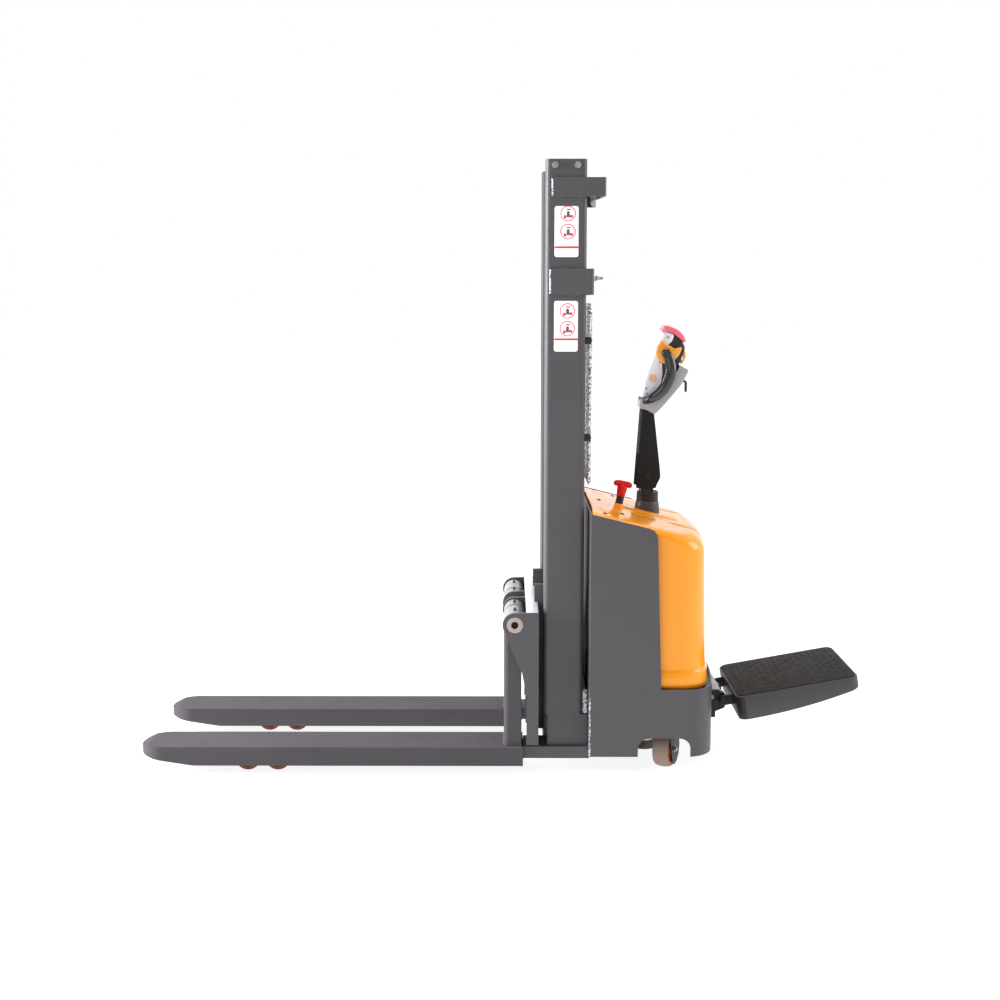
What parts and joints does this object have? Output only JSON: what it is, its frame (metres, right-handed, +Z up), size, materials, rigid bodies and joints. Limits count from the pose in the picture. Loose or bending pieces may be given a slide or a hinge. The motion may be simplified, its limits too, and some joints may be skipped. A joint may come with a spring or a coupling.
{
  "type": "walkie stacker",
  "caption": "Walk-behind powered pallet stacker: forks over straddle legs, two-stage mast, tiller with steered drive wheel, swivel casters and folding rider platform.",
  "frame": {"origin": "on the floor, at the middle of the overall length with the platform in its sprung rest pose, on the centre plane", "axes": "+X towards the operator and platform, -X towards the fork tips, +Z up, +Y towards the left-named wheels"},
  "size_m": [2.2826, 0.664, 1.892],
  "materials": {
    "frame_paint": "semi-gloss powder coat, grey",
    "inner_mast_paint": "semi-gloss paint, dark grey",
    "cover_orange": "glossy moulded cover, orange",
    "black_steel": "satin black paint",
    "black_plastic": "moulded black plastic",
    "grip_plastic": "glossy black grip",
    "silver_plastic": "silver-grey moulded plastic",
    "polyurethane": "rust coloured polyurethane",
    "drive_rubber": "dark drive tyre",
    "bright_steel": "zinc plated or machined steel",
    "chrome_rod": "hard chrome",
    "bronze": "sintered bronze",
    "chain_steel": "oiled leaf chain",
    "cast_grey": "painted castings",
    "deck_plastic": "charcoal textured plastic",
    "mat_rubber": "black ribbed rubber",
    "red_plastic": "red plastic",
    "knob_orange": "orange plastic",
    "yellow_plastic": "yellow plastic",
    "nylon": "natural nylon",
    "guard_wire": "grey coated wire",
    "hose_rubber": "braided hydraulic hose"
  },
  "bodies": {
    "chassis": {"chassis_frame": "frame_paint", "leg_frame": "frame_paint", "outer_mast": "frame_paint", "mast_bolts": "bright_steel", "mast_pads": "nylon", "mesh_guard": "guard_wire", "lift_cylinders": "black_steel", "load_wheel_axles": "bright_steel", "batteries": "black_plastic", "motor_controller": "bright_steel", "hydraulic_unit": "cast_grey", "hydraulic_hoses": "hose_rubber", "rear_cover": "cover_orange", "stop_switch": "black_plastic", "steering_bearing": "bright_steel", "caster_mounts": "frame_paint", "platform_bracket": "black_steel", "platform_pin": "bright_steel", "platform_springs": "black_steel", "chain_anchors": "bright_steel", "chain_rear": "chain_steel"},
    "load_wheel_front_left": {"load_wheel_front_left": "polyurethane"},
    "load_wheel_front_right": {"load_wheel_front_right": "polyurethane"},
    "load_wheel_rear_left": {"load_wheel_rear_left": "polyurethane"},
    "load_wheel_rear_right": {"load_wheel_rear_right": "polyurethane"},
    "inner_mast": {"inner_mast": "inner_mast_paint", "lift_rods": "chrome_rod"},
    "sheaves": {"chain_sheaves": "bright_steel"},
    "mast_rollers": {"mast_rollers": "bright_steel"},
    "carriage": {"carriage_frame": "frame_paint", "forks": "frame_paint", "fork_shaft": "bright_steel", "hub_bushes": "bronze", "chain_front": "chain_steel"},
    "upper_rollers": {"carriage_rollers_upper": "bright_steel"},
    "lower_rollers": {"carriage_rollers_lower": "bright_steel"},
    "drive_unit": {"drive_turret": "cast_grey", "drive_motor": "cast_grey", "gear_case": "cast_grey", "steering_column": "black_steel", "tiller_boot": "black_plastic"},
    "drive_wheel": {"drive_tyre": "drive_rubber", "drive_hub": "bright_steel"},
    "tiller": {"tiller_arm": "black_steel", "tiller_head": "silver_plastic", "tiller_grips": "grip_plastic", "tiller_pin": "bright_steel"},
    "throttle": {"throttle_knobs": "knob_orange"},
    "reversing_button": {"reversing_button": "red_plastic"},
    "lift_button": {"lift_button": "black_plastic"},
    "lower_button": {"lower_button": "black_plastic"},
    "horn_button": {"horn_button": "yellow_plastic"},
    "key": {"key": "black_plastic"},
    "stop_handle": {"stop_handle": "red_plastic"},
    "platform": {"platform_deck": "deck_plastic", "platform_mat": "mat_rubber"},
    "caster_left": {"caster_left": "black_steel"},
    "caster_right": {"caster_right": "black_steel"},
    "caster_wheel_left": {"caster_wheel_left": "polyurethane"},
    "caster_wheel_right": {"caster_wheel_right": "polyurethane"}
  },
  "joints": [
    {"name": "mast_lift", "type": "slide", "parent": "chassis", "child": "inner_mast", "axis": [0, 0, 1], "range_m": [0, 1.23], "deforming": ["chain_rear"]},
    {"name": "carriage_lift", "type": "slide", "parent": "inner_mast", "child": "carriage", "axis": [0, 0, 1], "range_m": [0, 1.23], "deforming": ["chain_front"]},
    {"name": "sheave_turn", "type": "hinge", "parent": "inner_mast", "child": "sheaves", "pos_m": [0.21572, 0, 1.835], "axis": [0, 1, 0], "range_deg": [0, 1500]},
    {"name": "mast_roller_turn", "type": "hinge", "parent": "inner_mast", "child": "mast_rollers", "pos_m": [0.19472, 0, 0.26], "axis": [0, 1, 0], "range_deg": [0, 1500]},
    {"name": "upper_roller_turn", "type": "hinge", "parent": "carriage", "child": "upper_rollers", "pos_m": [0.19472, 0, 0.47], "axis": [0, 1, 0], "range_deg": [-1500, 0]},
    {"name": "lower_roller_turn", "type": "hinge", "parent": "carriage", "child": "lower_rollers", "pos_m": [0.19472, 0, 0.155], "axis": [0, 1, 0], "range_deg": [0, 1500]},
    {"name": "load_wheel_front_left_spin", "type": "hinge", "parent": "chassis", "child": "load_wheel_front_left", "pos_m": [-0.80328, 0.205, 0.04], "axis": [0, 1, 0], "continuous": true},
    {"name": "load_wheel_front_right_spin", "type": "hinge", "parent": "chassis", "child": "load_wheel_front_right", "pos_m": [-0.80328, -0.205, 0.04], "axis": [0, 1, 0], "continuous": true},
    {"name": "load_wheel_rear_left_spin", "type": "hinge", "parent": "chassis", "child": "load_wheel_rear_left", "pos_m": [-0.70828, 0.205, 0.04], "axis": [0, 1, 0], "continuous": true},
    {"name": "load_wheel_rear_right_spin", "type": "hinge", "parent": "chassis", "child": "load_wheel_rear_right", "pos_m": [-0.70828, -0.205, 0.04], "axis": [0, 1, 0], "continuous": true},
    {"name": "steer", "type": "hinge", "parent": "chassis", "child": "drive_unit", "pos_m": [0.47472, 0, 0.262], "axis": [0, 0, 1], "range_deg": [-90, 90]},
    {"name": "drive_wheel_spin", "type": "hinge", "parent": "drive_unit", "child": "drive_wheel", "pos_m": [0.47472, 0, 0.115], "axis": [0, 1, 0], "continuous": true},
    {"name": "tiller_tilt", "type": "hinge", "parent": "drive_unit", "child": "tiller", "pos_m": [0.46972, 0, 0.92], "axis": [0, 1, 0], "range_deg": [0, 75]},
    {"name": "throttle_turn", "type": "hinge", "parent": "tiller", "child": "throttle", "pos_m": [0.52972, 0, 1.306], "axis": [0, 1, 0], "range_deg": [-35, 35], "stiffness_Nm_per_rad": 0.5},
    {"name": "reversing_button_push", "type": "slide", "parent": "tiller", "child": "reversing_button", "axis": [-0.5, 0, -0.866], "range_m": [0, 0.004]},
    {"name": "lift_button_press", "type": "slide", "parent": "tiller", "child": "lift_button", "axis": [-0.9397, 0, -0.342], "range_m": [0, 0.004]},
    {"name": "lower_button_press", "type": "slide", "parent": "tiller", "child": "lower_button", "axis": [-0.9397, 0, -0.342], "range_m": [0, 0.004]},
    {"name": "horn_button_press", "type": "slide", "parent": "tiller", "child": "horn_button", "axis": [-0.9397, 0, -0.342], "range_m": [0, 0.004]},
    {"name": "key_turn", "type": "hinge", "parent": "tiller", "child": "key", "pos_m": [0.58072, 0, 1.222], "axis": [0.8829, 0, -0.4695], "range_deg": [0, 90]},
    {"name": "stop_handle_pull", "type": "slide", "parent": "chassis", "child": "stop_handle", "axis": [0.1908, 0, 0.9816], "range_m": [0, 0.02]},
    {"name": "platform_fold", "type": "hinge", "parent": "chassis", "child": "platform", "pos_m": [0.72072, 0, 0.19], "axis": [0, -1, 0], "range_deg": [-10.3, 72]},
    {"name": "caster_left_swivel", "type": "hinge", "parent": "chassis", "child": "caster_left", "pos_m": [0.50972, 0.222, 0.15], "axis": [0, 0, 1], "continuous": true},
    {"name": "caster_wheel_left_spin", "type": "hinge", "parent": "caster_left", "child": "caster_wheel_left", "pos_m": [0.52451, 0.25372, 0.06], "axis": [-0.9063, 0.4226, 0], "continuous": true},
    {"name": "caster_right_swivel", "type": "hinge", "parent": "chassis", "child": "caster_right", "pos_m": [0.50972, -0.222, 0.15], "axis": [0, 0, 1], "continuous": true},
    {"name": "caster_wheel_right_spin", "type": "hinge", "parent": "caster_right", "child": "caster_wheel_right", "pos_m": [0.52451, -0.19028, 0.06], "axis": [-0.9063, 0.4226, 0], "continuous": true}
  ],
  "couplings": [
    {"joint": "carriage_lift", "follows": "mast_lift", "ratio": 1},
    {"joint": "sheave_turn", "follows": "mast_lift", "rad_per_m": 20.833},
    {"joint": "mast_roller_turn", "follows": "mast_lift", "rad_per_m": 20.855},
    {"joint": "upper_roller_turn", "follows": "mast_lift", "rad_per_m": -20.429},
    {"joint": "lower_roller_turn", "follows": "mast_lift", "rad_per_m": 20.429}
  ]
}
